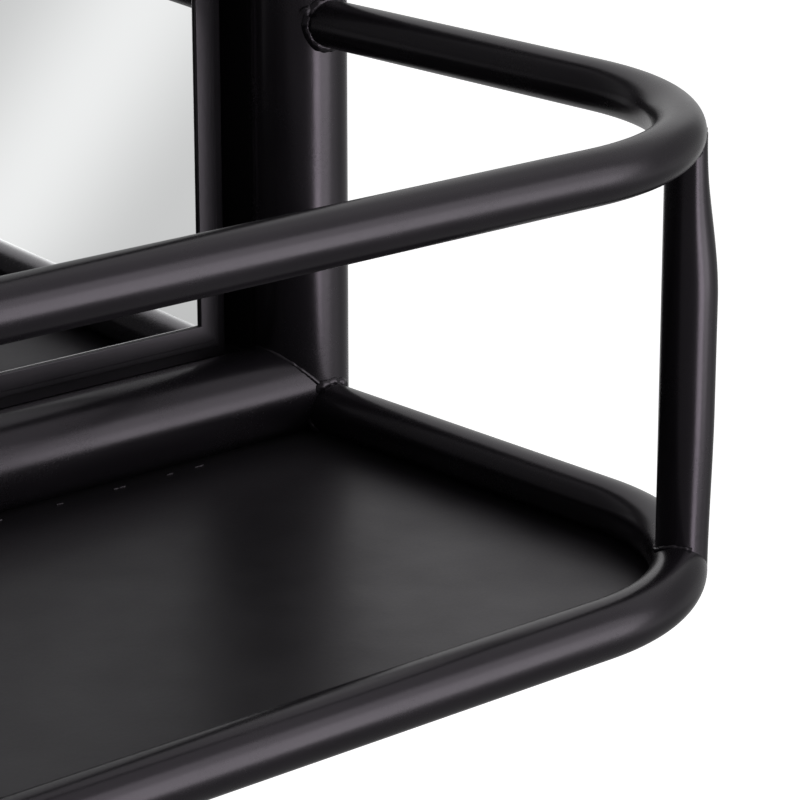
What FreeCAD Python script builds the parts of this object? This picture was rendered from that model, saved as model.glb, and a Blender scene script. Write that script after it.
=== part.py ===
import FreeCAD, Part
import math
import os
import re

import Sketcher
from FreeCAD import Placement, Rotation, Vector

# Wall-hung medicine cabinet. A shallow steel box hangs on the wall. Its door is a
# welded tube frame that carries a mirror and, along its bottom, an open tray shelf
# with a guard rail. The door swings about two barrel hinges behind its left tube.
#
# Frame: +X to the right as seen from the room, +Y into the wall, +Z up. The origin
# is the centre of the wall fixing pattern on the back face of the cabinet.
# All lengths are in millimetres.

SIZES = {
    # steel box on the wall
    "cabinet_width": 468.0,
    "cabinet_height": 722.0,
    "cabinet_depth": 100.0,
    "sheet": 1.5,
    "hem_depth": 8.0,
    "fixing_pitch_x": 406.4,
    "fixing_pitch_z": 560.0,
    "fixing_hole": 7.0,
    # shelves inside the box
    "shelf_glass": 5.0,
    "shelf_level": 120.0,
    "shelf_side_gap": 2.0,
    "shelf_front": 90.0,
    "shelf_back": 6.0,
    "peg_hole": 5.2,
    "peg_dia": 5.0,
    "peg_pitch": 32.0,
    "peg_rows": 5,
    "peg_front": 76.0,
    "peg_back": 20.0,
    "peg_reach": 9.0,
    # tube frame of the door
    "frame_width": 508.0,
    "frame_height": 762.0,
    "tube_dia": 19.6,
    "tube_wall": 1.5,
    # sheet pan behind the tubes, pad, mirror and its bezel
    "leaf_gap": 3.0,
    "pan_face": 17.4,
    "pan_sheet": 1.2,
    "pan_edge": 5.4,
    "pan_lip": 5.0,
    "pad_thick": 4.8,
    "mirror_thick": 4.0,
    "mirror_overlap": 3.0,
    "bezel_width": 7.9,
    "bezel_side": 11.6,
    "bezel_end": 6.6,
    "bezel_lip": 0.7,
    "bezel_ledge": 2.8,
    "bezel_sink": 2.4,
    "bezel_step": 1.4,
    "bezel_drop": 0.8,
    # tray shelf and guard rail
    "shelf_reach": 133.9,
    "rim_dia": 10.4,
    "rim_wall": 1.5,
    "rim_bend": 45.1,
    "rim_drop": 2.7,
    "tray_sheet": 1.2,
    "tray_lift": 0.6,
    "tray_inset": 1.5,
    "rail_dia": 9.5,
    "rail_wall": 1.5,
    "rail_bend": 49.3,
    "rail_rise": 79.5,
    "post_dia": 9.9,
    "post_out": 2.5,
    # barrel hinges
    "hinge_inset": 9.0,
    "hinge_back": 15.2,
    "hinge_level": 250.0,
    "barrel_dia": 10.0,
    "barrel_length": 28.0,
    "washer_thick": 1.0,
    "pin_dia": 5.0,
    "pin_play": 0.1,
    "pin_head": 1.6,
    "hinge_plate": 2.0,
    "hinge_plate_depth": 34.0,
    "hinge_screw": 4.0,
    # catch, strike and bumpers
    "catch_width": 14.0,
    "catch_depth": 24.0,
    "catch_height": 44.0,
    "pole_thick": 2.0,
    "pole_width": 10.0,
    "pole_gap": 16.0,
    "strike_thick": 1.0,
    "strike_width": 16.0,
    "strike_height": 48.0,
    "touch_gap": 0.3,
    "bumper_dia": 6.0,
    "bumper_level": 330.0,
}

# Expressions, in terms of the cells, that several sub-parts share.
FRAME_X = "(frame_width/2 - tube_dia/2)"
FRAME_Z = "(frame_height/2 - tube_dia/2)"
FRAME_Y = "(0 - cabinet_depth - leaf_gap - pan_sheet - pan_face)"
PAN_Y = f"({FRAME_Y} + pan_face)"
RIM_Z = f"(0 - {FRAME_Z} - rim_drop)"
RAIL_Z = f"({RIM_Z} + rail_rise)"
TRAY_Z = f"({RIM_Z} - rim_dia/2 + tray_lift)"
HINGE_X = "(0 - frame_width/2 + hinge_inset)"
HINGE_Y = f"({FRAME_Y} + hinge_back)"
INNER_X = "(cabinet_width/2 - sheet)"
INNER_Z = "(cabinet_height/2 - sheet)"
FRONT_Y = "(0 - cabinet_depth)"

doc = FreeCAD.newDocument("MirrorCabinet")
sheet = doc.addObject("Spreadsheet::Sheet", "Sizes")
for row, (alias, value) in enumerate(SIZES.items(), start=1):
    sheet.set(f"A{row}", alias)
    sheet.set(f"B{row}", str(value))
    sheet.setAlias(f"B{row}", alias)
doc.recompute()

WORD = re.compile(r"[a-z][a-z_]*")
parts = []


def cells(text):
    """The expression with each bare size name turned into its cell."""
    return WORD.sub(lambda m: "Sizes." + m.group() if m.group() in SIZES else m.group(), text)


def size(text):
    """The number that an expression of size names gives now."""
    return float(sheet.evalExpression(cells(text)))


def bind(item, **links):
    """Tie properties of an object to the sheet."""
    for prop, text in links.items():
        item.setExpression(prop.replace("__", "."), cells(text))
    return item


def place(item, x="0", y="0", z="0", turn=None):
    """Put an object at a place given by expressions, turned by (axis, degrees)."""
    if turn:
        item.Placement = Placement(Vector(), Rotation(Vector(*turn[0]), turn[1]))
    return bind(item, Placement__Base__x=x, Placement__Base__y=y, Placement__Base__z=z)


def keep(item, label):
    """Name an object as a sub-part of the cabinet."""
    item.Label = label
    parts.append(item)
    return item


def block(name, x, y, z):
    """A box between pairs of expressions."""
    box = doc.addObject("Part::Box", name)
    bind(box, Length=f"({x[1]}) - ({x[0]})", Width=f"({y[1]}) - ({y[0]})", Height=f"({z[1]}) - ({z[0]})")
    return place(box, x[0], y[0], z[0])


ALONG = {"x": ((0, 1, 0), 90), "y": ((1, 0, 0), -90), "z": None}


def rod(name, dia, length, x="0", y="0", z="0", along="z"):
    """A cylinder that starts at a point and runs along an axis."""
    cylinder = doc.addObject("Part::Cylinder", name)
    bind(cylinder, Radius=f"({dia})/2", Height=length)
    return place(cylinder, x, y, z, ALONG[along])


def cut(name, base, tool):
    item = doc.addObject("Part::Cut", name)
    item.Base = base
    item.Tool = tool
    return item


def fuse(name, *items):
    item = doc.addObject("Part::MultiFuse", name)
    item.Shapes = list(items)
    return item


def common(name, base, tool):
    item = doc.addObject("Part::Common", name)
    item.Base = base
    item.Tool = tool
    return item


def mitre(name, half, low, high, depth):
    """A slab along X whose ends slope at 45 degrees, longer on its lower side."""
    wedge = doc.addObject("Part::Wedge", name)
    bind(
        wedge,
        Xmin=f"0 - ({half}) + ({low})",
        Xmax=f"({half}) - ({low})",
        X2min=f"0 - ({half}) + ({high})",
        X2max=f"({half}) - ({high})",
        Ymin=low,
        Ymax=high,
        Zmin=f"0 - ({depth})",
        Zmax=depth,
        Z2min=f"0 - ({depth})",
        Z2max=depth,
    )
    wedge.Placement = Placement(Vector(), Rotation(Vector(1, 0, 0), 90))
    return wedge


def origin_plane(body, role):
    return next(f for f in body.Origin.OriginFeatures if f.Role == role)


def new_body(name, x="0", y="0", z="0"):
    body = doc.addObject("PartDesign::Body", name)
    return place(body, x, y, z)


def new_sketch(body, name, role):
    sketch = body.newObject("Sketcher::SketchObject", name)
    sketch.AttachmentSupport = (origin_plane(body, role), [""])
    sketch.MapMode = "FlatFace"
    return sketch


def measure(sketch, kind, refs, text):
    """Add a dimension to a sketch and tie it to the sheet."""
    index = sketch.addConstraint(Sketcher.Constraint(kind, *refs, size(text)))
    sketch.setExpression(f"Constraints[{index}]", cells(text))


ORIGIN = (-1, 1)


def rectangle(sketch, across, upward):
    """A rectangle about the sketch's origin: half width across, half height upward."""
    a = size(across)
    b = size(upward)
    corners = [Vector(-a, -b), Vector(a, -b), Vector(a, b), Vector(-a, b)]
    first = sketch.GeometryCount
    for start, end in zip(corners, corners[1:] + corners[:1]):
        sketch.addGeometry(Part.LineSegment(start, end))
    for i in range(4):
        sketch.addConstraint(Sketcher.Constraint("Coincident", first + i, 2, first + (i + 1) % 4, 1))
        sketch.addConstraint(Sketcher.Constraint("Vertical" if i % 2 else "Horizontal", first + i))
    sketch.addConstraint(Sketcher.Constraint("Symmetric", first, 1, first + 2, 1, *ORIGIN))
    measure(sketch, "DistanceX", (*ORIGIN, first + 1, 2), across)
    measure(sketch, "DistanceY", (*ORIGIN, first + 1, 2), upward)


def circle(sketch, across, upward, dia):
    """A circle whose centre is measured from the sketch's origin along its two axes."""
    centre = Vector(size(across), size(upward), 0)
    index = sketch.addGeometry(Part.Circle(centre, Vector(0, 0, 1), size(dia) / 2))
    for kind, text in (("DistanceX", across), ("DistanceY", upward)):
        if size(text) < 0:
            measure(sketch, kind, (index, 3, *ORIGIN), f"0 - ({text})")
        else:
            measure(sketch, kind, (*ORIGIN, index, 3), text)
    measure(sketch, "Radius", (index,), f"({dia})/2")


def pad(body, sketch, length, backwards=False):
    feature = body.newObject("PartDesign::Pad", sketch.Name + "_pad")
    feature.Profile = sketch
    feature.Reversed = backwards
    return bind(feature, Length=length)


def through_holes(body, sketch):
    feature = body.newObject("PartDesign::Pocket", sketch.Name + "_pocket")
    feature.Profile = sketch
    feature.Type = "ThroughAll"
    feature.Midplane = True
    return feature


def u_outline(sketch, half, reach, bend, closed=False):
    """A U seen from above: two legs along Y, joined in front by a run with round corners."""
    a = size(half)
    f = size(reach)
    b = size(bend)
    up = Vector(0, 0, 1)
    left = Part.Circle(Vector(b - a, b - f, 0), up, b)
    right = Part.Circle(Vector(a - b, b - f, 0), up, b)
    sketch.addGeometry(Part.LineSegment(Vector(-a, 0, 0), Vector(-a, b - f, 0)))
    sketch.addGeometry(Part.ArcOfCircle(left, math.pi, 1.5 * math.pi))
    sketch.addGeometry(Part.LineSegment(Vector(b - a, -f, 0), Vector(a - b, -f, 0)))
    sketch.addGeometry(Part.ArcOfCircle(right, 1.5 * math.pi, 2 * math.pi))
    sketch.addGeometry(Part.LineSegment(Vector(a, b - f, 0), Vector(a, 0, 0)))
    for i in range(4):
        sketch.addConstraint(Sketcher.Constraint("Tangent", i, 2, i + 1, 1))
    sketch.addConstraint(Sketcher.Constraint("Vertical", 0))
    sketch.addConstraint(Sketcher.Constraint("Horizontal", 2))
    sketch.addConstraint(Sketcher.Constraint("Equal", 1, 3))
    sketch.addConstraint(Sketcher.Constraint("Symmetric", 0, 1, 4, 2, *ORIGIN))
    measure(sketch, "Radius", (1,), bend)
    measure(sketch, "DistanceX", (*ORIGIN, 4, 2), half)
    measure(sketch, "DistanceY", (2, 1, *ORIGIN), reach)
    if closed:
        sketch.addGeometry(Part.LineSegment(Vector(a, 0, 0), Vector(-a, 0, 0)))
        sketch.addConstraint(Sketcher.Constraint("Coincident", 4, 2, 5, 1))
        sketch.addConstraint(Sketcher.Constraint("Coincident", 5, 2, 0, 1))


def bent_bar(name, dia, bend, level):
    """A round bar bent to the U of the shelf, as long as the legs reach the frame's plane."""
    body = new_body(name, "0", FRAME_Y, level)
    path = new_sketch(body, name + "_path", "XY_Plane")
    u_outline(path, FRAME_X, "shelf_reach", bend)
    section = new_sketch(body, name + "_section", "XZ_Plane")
    circle(section, f"0 - {FRAME_X}", "0", dia)
    doc.recompute()
    pipe = body.newObject("PartDesign::AdditivePipe", name + "_pipe")
    pipe.Profile = section
    pipe.Spine = (path, [])
    return body


# ---------------------------------------------------------------- tube frame of the door

# where each tube lies: turn about Y, the axis's place, and the frame's half length along it
FRAME_SIDES = {
    "bottom": (0, "0", f"0 - {FRAME_Z}", FRAME_X),
    "right": (-90, FRAME_X, "0", FRAME_Z),
    "top": (180, "0", FRAME_Z, FRAME_X),
    "left": (90, f"0 - {FRAME_X}", "0", FRAME_Z),
}


def frame_bar(side):
    """One solid bar of the frame, mitred at both ends."""
    turn, x, z, half = FRAME_SIDES[side]
    reach = f"({half} + tube_dia/2)"
    outer = rod(f"outer_{side}", "tube_dia", f"2 * {reach}", f"0 - {reach}", along="x")
    ends = mitre(f"ends_{side}", half, "0 - tube_dia/2", "tube_dia/2", "tube_dia")
    bar = common(f"bar_{side}", outer, ends)
    return place(bar, x, FRAME_Y, z, ((0, 1, 0), turn))


def frame_tube(side, bar):
    """The bar bored out to a tube."""
    turn, x, z, half = FRAME_SIDES[side]
    upright = side in ("left", "right")
    reach = f"({half} + tube_dia)"
    bore = rod(
        f"bore_{side}",
        "tube_dia - 2 * tube_wall",
        f"2 * {reach}",
        x if upright else f"0 - {reach}",
        FRAME_Y,
        f"0 - {reach}" if upright else z,
        "z" if upright else "x",
    )
    return keep(cut(f"tube_{side}", bar, bore), f"frame_tube_{side}")


frame_bars = {side: frame_bar(side) for side in FRAME_SIDES}
for side, bar in frame_bars.items():
    frame_tube(side, bar)
frame_solid = fuse("frame_solid", *frame_bars.values())

# ---------------------------------------------------------------- tray shelf and guard rail

bent_bars = {}
for name, dia, wall, bend, level in (
    ("tray_rim_tube", "rim_dia", "rim_wall", "rim_bend", RIM_Z),
    ("guard_rail_tube", "rail_dia", "rail_wall", "rail_bend", RAIL_Z),
):
    bent_bars[name] = bent_bar(name + "_bar", dia, bend, level)
    core = bent_bar(name + "_core", f"{dia} - 2 * {wall}", bend, level)
    tube = cut(name + "_hollow", bent_bars[name], core)
    keep(cut(name + "_coped", tube, frame_solid), name)

tray_body = new_body("tray_body", "0", FRAME_Y, f"{TRAY_Z} - tray_sheet")
tray_sketch = new_sketch(tray_body, "tray_outline", "XY_Plane")
u_outline(
    tray_sketch,
    f"{FRAME_X} - tray_inset",
    "shelf_reach - tray_inset",
    "rim_bend - tray_inset",
    closed=True,
)
pad(tray_body, tray_sketch, "tray_sheet")
tray_on_rim = cut("tray_on_rim", tray_body, bent_bars["tray_rim_tube"])
keep(cut("tray_trimmed", tray_on_rim, frame_solid), "tray_plate")

# the posts stand at the middle of each bend, a little outside the rail's axis
POST_IN = "((1 - sqrt(0.5)) * rail_bend - sqrt(0.5) * post_out)"
for side, sign in (("left", "0 - 1"), ("right", "1")):
    post = rod(
        f"post_{side}",
        "post_dia",
        "rail_rise",
        f"({sign}) * ({FRAME_X} - {POST_IN})",
        f"{FRAME_Y} - shelf_reach + {POST_IN}",
        RIM_Z,
    )
    on_rim = cut(f"post_{side}_on_rim", post, bent_bars["tray_rim_tube"])
    keep(cut(f"post_{side}_coped", on_rim, bent_bars["guard_rail_tube"]), f"guard_post_{side}")

# ---------------------------------------------------------------- pan, pad, mirror and bezel

pan_x = f"({FRAME_X} - pan_edge)"
pan_z = f"({FRAME_Z} - pan_edge)"
pan_outer = block(
    "pan_outer",
    (f"0 - {pan_x}", pan_x),
    (f"{FRAME_Y} + pan_lip", f"{PAN_Y} + pan_sheet"),
    (f"0 - {pan_z}", pan_z),
)
pan_hollow = block(
    "pan_hollow",
    (f"pan_sheet - {pan_x}", f"{pan_x} - pan_sheet"),
    (f"{FRAME_Y}", PAN_Y),
    (f"pan_sheet - {pan_z}", f"{pan_z} - pan_sheet"),
)
pan = cut("pan_open", pan_outer, pan_hollow)
keep(cut("pan_coped", pan, frame_solid), "door_back_pan")

MIRROR_X = f"({FRAME_X} - bezel_side - bezel_width + mirror_overlap)"
MIRROR_Z = f"({FRAME_Z} - bezel_end - bezel_width + mirror_overlap)"
span_x = (f"0 - {MIRROR_X}", MIRROR_X)
span_z = (f"0 - {MIRROR_Z}", MIRROR_Z)
keep(block("pad", span_x, (f"{PAN_Y} - pad_thick", PAN_Y), span_z), "mirror_backing_pad")
mirror_y = (f"{PAN_Y} - pad_thick - mirror_thick", f"{PAN_Y} - pad_thick")
keep(block("mirror", span_x, mirror_y, span_z), "mirror_glass")

# Each bezel strip is drawn along X with its outer edge at local z 0 and its back at
# local y 0. It rises from an outer ledge over a step to the lip that laps over the glass.
BEZEL_DEEP = "(pad_thick + mirror_thick + bezel_lip)"
BEZEL_SIDES = {
    "bottom": (0, "0", f"bezel_end - {FRAME_Z}", f"({FRAME_X} - bezel_side)"),
    "right": (-90, f"{FRAME_X} - bezel_side", "0", f"({FRAME_Z} - bezel_end)"),
    "top": (180, "0", f"{FRAME_Z} - bezel_end", f"({FRAME_X} - bezel_side)"),
    "left": (90, f"bezel_side - {FRAME_X}", "0", f"({FRAME_Z} - bezel_end)"),
}


def bezel_strip(side):
    turn, x, z, half = BEZEL_SIDES[side]
    along = (f"0 - {half}", half)
    ledge = block(
        f"bezel_ledge_{side}",
        along,
        (f"bezel_sink - {BEZEL_DEEP}", "0"),
        ("0", "bezel_width - mirror_overlap"),
    )
    step = block(
        f"bezel_step_{side}",
        along,
        (f"bezel_drop - {BEZEL_DEEP}", "0"),
        ("bezel_ledge", "bezel_width - mirror_overlap"),
    )
    rib = block(
        f"bezel_rib_{side}",
        along,
        (f"0 - {BEZEL_DEEP}", "0"),
        ("bezel_ledge + bezel_step", "bezel_width - mirror_overlap"),
    )
    lip = block(
        f"bezel_lip_{side}",
        along,
        (f"0 - {BEZEL_DEEP}", f"bezel_lip - {BEZEL_DEEP}"),
        ("bezel_ledge + bezel_step", "bezel_width"),
    )
    bar = fuse(f"bezel_bar_{side}", ledge, step, rib, lip)
    ends = mitre(f"bezel_ends_{side}", half, "0", "bezel_width", f"2 * {BEZEL_DEEP}")
    strip = common(f"bezel_{side}", bar, ends)
    keep(place(strip, x, PAN_Y, z, ((0, 1, 0), turn)), f"mirror_bezel_{side}")


for side in BEZEL_SIDES:
    bezel_strip(side)

# ---------------------------------------------------------------- steel box on the wall

for side, sign in (("left", -1), ("right", 1)):
    inner = f"({sign}) * {INNER_X}" if sign > 0 else f"0 - {INNER_X}"
    outer = "cabinet_width/2" if sign > 0 else "0 - cabinet_width/2"
    hem = f"{INNER_X} - sheet" if sign > 0 else f"sheet - {INNER_X}"
    body = new_body(f"side_{side}", outer, "0 - cabinet_depth/2", "0")
    outline = new_sketch(body, f"side_{side}_outline", "YZ_Plane")
    rectangle(outline, "cabinet_depth/2", "cabinet_height/2")
    pad(body, outline, "sheet", backwards=sign > 0)
    holes = new_sketch(body, f"side_{side}_holes", "YZ_Plane")
    for column in ("peg_front", "peg_back"):
        for shelf in ("0 - shelf_level", "shelf_level"):
            low_hole = f"{shelf} - peg_dia/2 - (peg_rows - 1)/2 * peg_pitch"
            circle(holes, f"cabinet_depth/2 - {column}", low_hole, "peg_hole")
    doc.recompute()
    pegs = through_holes(body, holes)
    doc.recompute()
    column_of_holes = body.newObject("PartDesign::LinearPattern", f"side_{side}_pattern")
    column_of_holes.Originals = [pegs]
    column_of_holes.Direction = (holes, ["V_Axis"])
    bind(column_of_holes, Length="(peg_rows - 1) * peg_pitch", Occurrences="peg_rows")
    body.Tip = column_of_holes
    hem_x = (inner, hem) if sign < 0 else (hem, inner)
    folded = block(
        f"side_{side}_hem",
        hem_x,
        (FRONT_Y, f"{FRONT_Y} + hem_depth"),
        (f"sheet - {INNER_Z}", f"{INNER_Z} - sheet"),
    )
    keep(fuse(f"side_{side}_hemmed", body, folded), f"cabinet_side_{side}")

for label, low, high, hem in (
    ("cabinet_floor", "0 - cabinet_height/2", f"0 - {INNER_Z}", (f"0 - {INNER_Z}", f"sheet - {INNER_Z}")),
    ("cabinet_top", INNER_Z, "cabinet_height/2", (f"{INNER_Z} - sheet", INNER_Z)),
):
    plate = block(label + "_plate", (f"0 - {INNER_X}", INNER_X), (FRONT_Y, "0"), (low, high))
    folded = block(
        label + "_hem",
        (f"sheet - {INNER_X}", f"{INNER_X} - sheet"),
        (FRONT_Y, f"{FRONT_Y} + hem_depth"),
        hem,
    )
    keep(fuse(label + "_hemmed", plate, folded), label)

back = new_body("back_body")
back_outline = new_sketch(back, "back_outline", "XZ_Plane")
rectangle(back_outline, INNER_X, INNER_Z)
pad(back, back_outline, "sheet")
back_holes = new_sketch(back, "back_holes", "XZ_Plane")
for across in ("0 - fixing_pitch_x/2", "fixing_pitch_x/2"):
    for upward in ("0 - fixing_pitch_z/2", "fixing_pitch_z/2"):
        circle(back_holes, across, upward, "fixing_hole")
doc.recompute()
through_holes(back, back_holes)
keep(back, "cabinet_back")

# ---------------------------------------------------------------- shelves and their pegs

for name, level in (("lower", "0 - shelf_level"), ("upper", "shelf_level")):
    glass = block(
        f"shelf_{name}",
        (f"shelf_side_gap - {INNER_X}", f"{INNER_X} - shelf_side_gap"),
        ("0 - shelf_front", "0 - shelf_back"),
        (level, f"{level} + shelf_glass"),
    )
    keep(glass, f"glass_shelf_{name}")
    pegs = []
    for side, start in (("left", "0 - cabinet_width/2"), ("right", f"{INNER_X} - peg_reach")):
        for column in ("peg_front", "peg_back"):
            pegs.append(
                rod(
                    f"peg_{name}_{side}_{column}",
                    "peg_dia",
                    "peg_reach + sheet",
                    start,
                    f"0 - {column}",
                    f"{level} - peg_dia/2",
                    "x",
                )
            )
    keep(fuse(f"pegs_{name}", *pegs), f"shelf_pegs_{name}")

# ---------------------------------------------------------------- barrel hinges

# Each hinge is a fixed knuckle on a plate screwed to the cabinet's side, a washer, and a
# sleeve welded to the back of the left frame tube. The pin is held in the knuckle.
for name, level in (("lower", "0 - hinge_level"), ("upper", "hinge_level")):
    foot = f"({level} - barrel_length - washer_thick/2)"
    top = f"({level} + washer_thick/2)"

    knuckle = rod(f"knuckle_{name}", "barrel_dia", "barrel_length", HINGE_X, HINGE_Y, foot)
    arm = block(
        f"hinge_arm_{name}",
        (HINGE_X, "0 - cabinet_width/2"),
        (f"{FRONT_Y} - hinge_plate - touch_gap", f"{FRONT_Y} - touch_gap"),
        (foot, f"{foot} + barrel_length"),
    )
    plate = block(
        f"hinge_plate_{name}",
        ("0 - cabinet_width/2 - hinge_plate", "0 - cabinet_width/2"),
        (f"{FRONT_Y} - hinge_plate - touch_gap", f"{FRONT_Y} + hinge_plate_depth"),
        (foot, f"{foot} + barrel_length"),
    )
    seat = rod(
        f"pin_seat_{name}",
        "pin_dia",
        "2 * barrel_length",
        HINGE_X,
        HINGE_Y,
        f"{foot} - barrel_length/2",
    )
    bracket = fuse(f"bracket_blank_{name}", knuckle, arm, plate)
    keep(cut(f"bracket_bored_{name}", bracket, seat), f"hinge_bracket_{name}")

    pin = rod(f"pin_{name}", "pin_dia", "2 * barrel_length + washer_thick", HINGE_X, HINGE_Y, foot)
    head = rod(f"pin_head_{name}", "barrel_dia - 1.5", "pin_head", HINGE_X, HINGE_Y, f"{foot} - pin_head")
    keep(fuse(f"pin_{name}_headed", pin, head), f"hinge_pin_{name}")

    disc = rod(f"washer_disc_{name}", "barrel_dia", "washer_thick", HINGE_X, HINGE_Y, f"{level} - washer_thick/2")
    hole = rod(f"washer_hole_{name}", "pin_dia + pin_play", "3 * washer_thick", HINGE_X, HINGE_Y,
               f"{level} - washer_thick")
    keep(cut(f"washer_{name}", disc, hole), f"hinge_washer_{name}")

    sleeve = rod(f"sleeve_{name}", "barrel_dia", "barrel_length", HINGE_X, HINGE_Y, top)
    saddle = block(
        f"saddle_{name}",
        (f"{HINGE_X} - barrel_dia/4", f"{HINGE_X} + barrel_dia/4"),
        (FRAME_Y, HINGE_Y),
        (f"{top} + barrel_length/8", f"{top} + barrel_length * 7/8"),
    )
    bore = rod(f"sleeve_bore_{name}", "pin_dia + pin_play", "3 * barrel_length", HINGE_X, HINGE_Y,
               f"{top} - barrel_length")
    welded = cut(f"sleeve_saddled_{name}", fuse(f"sleeve_blank_{name}", sleeve, saddle), frame_solid)
    keep(cut(f"sleeve_bored_{name}", welded, bore), f"hinge_sleeve_{name}")

    screws = []
    for i, part in enumerate(("1/4", "3/4")):
        drop = f"{foot} + barrel_length * {part}"
        screws.append(
            rod(
                f"hinge_screw_{name}_{i}",
                "2 * hinge_screw",
                "hinge_screw/2",
                "0 - cabinet_width/2 - hinge_plate - hinge_screw/2",
                f"{FRONT_Y} + hinge_plate_depth * 2/3",
                drop,
                "x",
            )
        )
    keep(fuse(f"hinge_screws_{name}_pair", *screws), f"hinge_screws_{name}")

# ---------------------------------------------------------------- magnetic catch

# The poles stop just short of the strike plate on the back of the door.
strike_face = f"({FRONT_Y} - leaf_gap + strike_thick)"
pole_tip = f"({strike_face} + touch_gap)"
case_x = (f"{INNER_X} - sheet - catch_width", f"{INNER_X} - sheet")
case_front = f"({FRONT_Y} + hem_depth + 1)"
case = block("catch_case", case_x, (case_front, f"{case_front} + catch_depth"),
             ("0 - catch_height/2", "catch_height/2"))
foot_plate = block(
    "catch_foot",
    (f"{INNER_X} - sheet", INNER_X),
    (case_front, f"{case_front} + catch_depth"),
    ("0 - catch_height/2 - 10", "catch_height/2 + 10"),
)
keep(fuse("catch_case_footed", case, foot_plate), "catch_housing")
pole_mid = f"({INNER_X} - sheet - catch_width/2)"
poles = []
for i, level in enumerate(("0 - pole_gap/2", "pole_gap/2")):
    poles.append(
        block(
            f"pole_{i}",
            (f"{pole_mid} - pole_width/2", f"{pole_mid} + pole_width/2"),
            (pole_tip, case_front),
            (f"{level} - pole_thick/2", f"{level} + pole_thick/2"),
        )
    )
keep(fuse("catch_poles", *poles), "catch_pole_plates")
strike = block(
    "strike",
    (f"{pole_mid} - strike_width/2", f"{pole_mid} + strike_width/2"),
    (f"{FRONT_Y} - leaf_gap", strike_face),
    ("0 - strike_height/2", "strike_height/2"),
)
keep(strike, "catch_strike_plate")

# ---------------------------------------------------------------- door bumpers

bumpers = []
for i, across in enumerate((f"0 - {INNER_X}", INNER_X)):
    for j, upward in enumerate(("0 - bumper_level", "bumper_level")):
        bumpers.append(
            rod(
                f"bumper_{i}{j}",
                "bumper_dia",
                "leaf_gap - touch_gap",
                across,
                f"{FRONT_Y} - leaf_gap",
                upward,
                "y",
            )
        )
keep(fuse("bumper_set", *bumpers), "door_bumpers")

# ---------------------------------------------------------------- checks and export

doc.recompute()
failed = [item.Name for item in doc.Objects if {"Invalid", "Error"} & set(item.State)]
for item in parts:
    if item.Shape.isNull() or not item.Shape.isValid():
        failed.append(item.Label)
if failed:
    raise RuntimeError(f"objects that failed: {failed}")

os.makedirs("parts", exist_ok=True)
for item in parts:
    item.Shape.exportStep(f"parts/{item.Label}.step")
    box = item.Shape.BoundBox
    print(
        f"{item.Label:22s} solids {len(item.Shape.Solids)} volume {item.Shape.Volume:10.1f} "
        f"x {box.XMin:7.1f} {box.XMax:7.1f} y {box.YMin:7.1f} {box.YMax:7.1f} "
        f"z {box.ZMin:7.1f} {box.ZMax:7.1f}"
    )
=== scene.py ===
"""Looks of the wall-hung mirror cabinet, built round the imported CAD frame. Lengths are in metres."""
import math
import random

import bmesh
import bpy
from mathutils import Matrix, Vector, noise


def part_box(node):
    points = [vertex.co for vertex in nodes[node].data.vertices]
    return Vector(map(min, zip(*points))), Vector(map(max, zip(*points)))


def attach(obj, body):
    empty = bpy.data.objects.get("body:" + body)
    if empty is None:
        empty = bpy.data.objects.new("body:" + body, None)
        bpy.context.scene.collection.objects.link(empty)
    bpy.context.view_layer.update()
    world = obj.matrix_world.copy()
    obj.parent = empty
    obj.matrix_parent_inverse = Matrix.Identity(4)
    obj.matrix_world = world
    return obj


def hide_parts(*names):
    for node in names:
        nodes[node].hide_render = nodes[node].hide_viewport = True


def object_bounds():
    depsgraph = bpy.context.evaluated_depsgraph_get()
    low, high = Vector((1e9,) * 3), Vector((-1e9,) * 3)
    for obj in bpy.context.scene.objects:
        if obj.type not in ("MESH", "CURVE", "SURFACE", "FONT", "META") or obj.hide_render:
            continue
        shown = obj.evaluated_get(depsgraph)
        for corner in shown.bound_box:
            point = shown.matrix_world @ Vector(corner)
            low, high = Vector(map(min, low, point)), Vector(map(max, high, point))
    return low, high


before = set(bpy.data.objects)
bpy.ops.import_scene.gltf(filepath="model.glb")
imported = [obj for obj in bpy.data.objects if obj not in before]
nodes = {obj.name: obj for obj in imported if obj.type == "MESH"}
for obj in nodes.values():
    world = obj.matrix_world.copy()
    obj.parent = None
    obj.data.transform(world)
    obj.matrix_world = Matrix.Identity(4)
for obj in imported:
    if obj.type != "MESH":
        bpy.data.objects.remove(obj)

cad_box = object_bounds()
scene = bpy.context.scene
MM = 0.001
UP = Vector((0, 0, 1))

# each hand's sign along X
HANDS = {"left": -1, "right": 1}


# ---------------------------------------------------------------- sizes read from the frame

def centre(node):
    """The middle of a CAD node's box."""
    low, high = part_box(node)
    return (low + high) / 2


def extent(node):
    """The size of a CAD node's box along X, Y and Z."""
    low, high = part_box(node)
    return high - low


TUBE_R = extent("frame_tube_right").y / 2
FRAME_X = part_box("frame_tube_right")[1].x - TUBE_R
FRAME_Y = centre("frame_tube_right").y
FRAME_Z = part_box("frame_tube_top")[1].z - TUBE_R

RAIL_R = extent("guard_rail_tube").z / 2
RAIL_Z = centre("guard_rail_tube").z
RIM_R = extent("tray_rim_tube").z / 2
RIM_Z = centre("tray_rim_tube").z
SHELF_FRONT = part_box("guard_rail_tube")[0].y + RAIL_R

POST_R = extent("guard_post_right").x / 2
POST = centre("guard_post_right")
TRAY_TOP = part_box("tray_plate")[1].z


# ---------------------------------------------------------------- sizes that the frame doesn't tell

# bend radii of the rail's and the rim's middle lines
RAIL_BEND = 49.3 * MM
RIM_BEND = 45.1 * MM

# length over which a post is dressed back at each end
POST_FADE = 30 * MM

# radii of the weld beads
SEAM_BEAD = 0.55 * MM
RIM_BEAD = 0.7 * MM
RAIL_BEAD = 1.1 * MM
POST_BEAD = 0.45 * MM

# the corner seams lie this deep in the tubes
SEAM_SINK = 0.2 * MM

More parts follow.
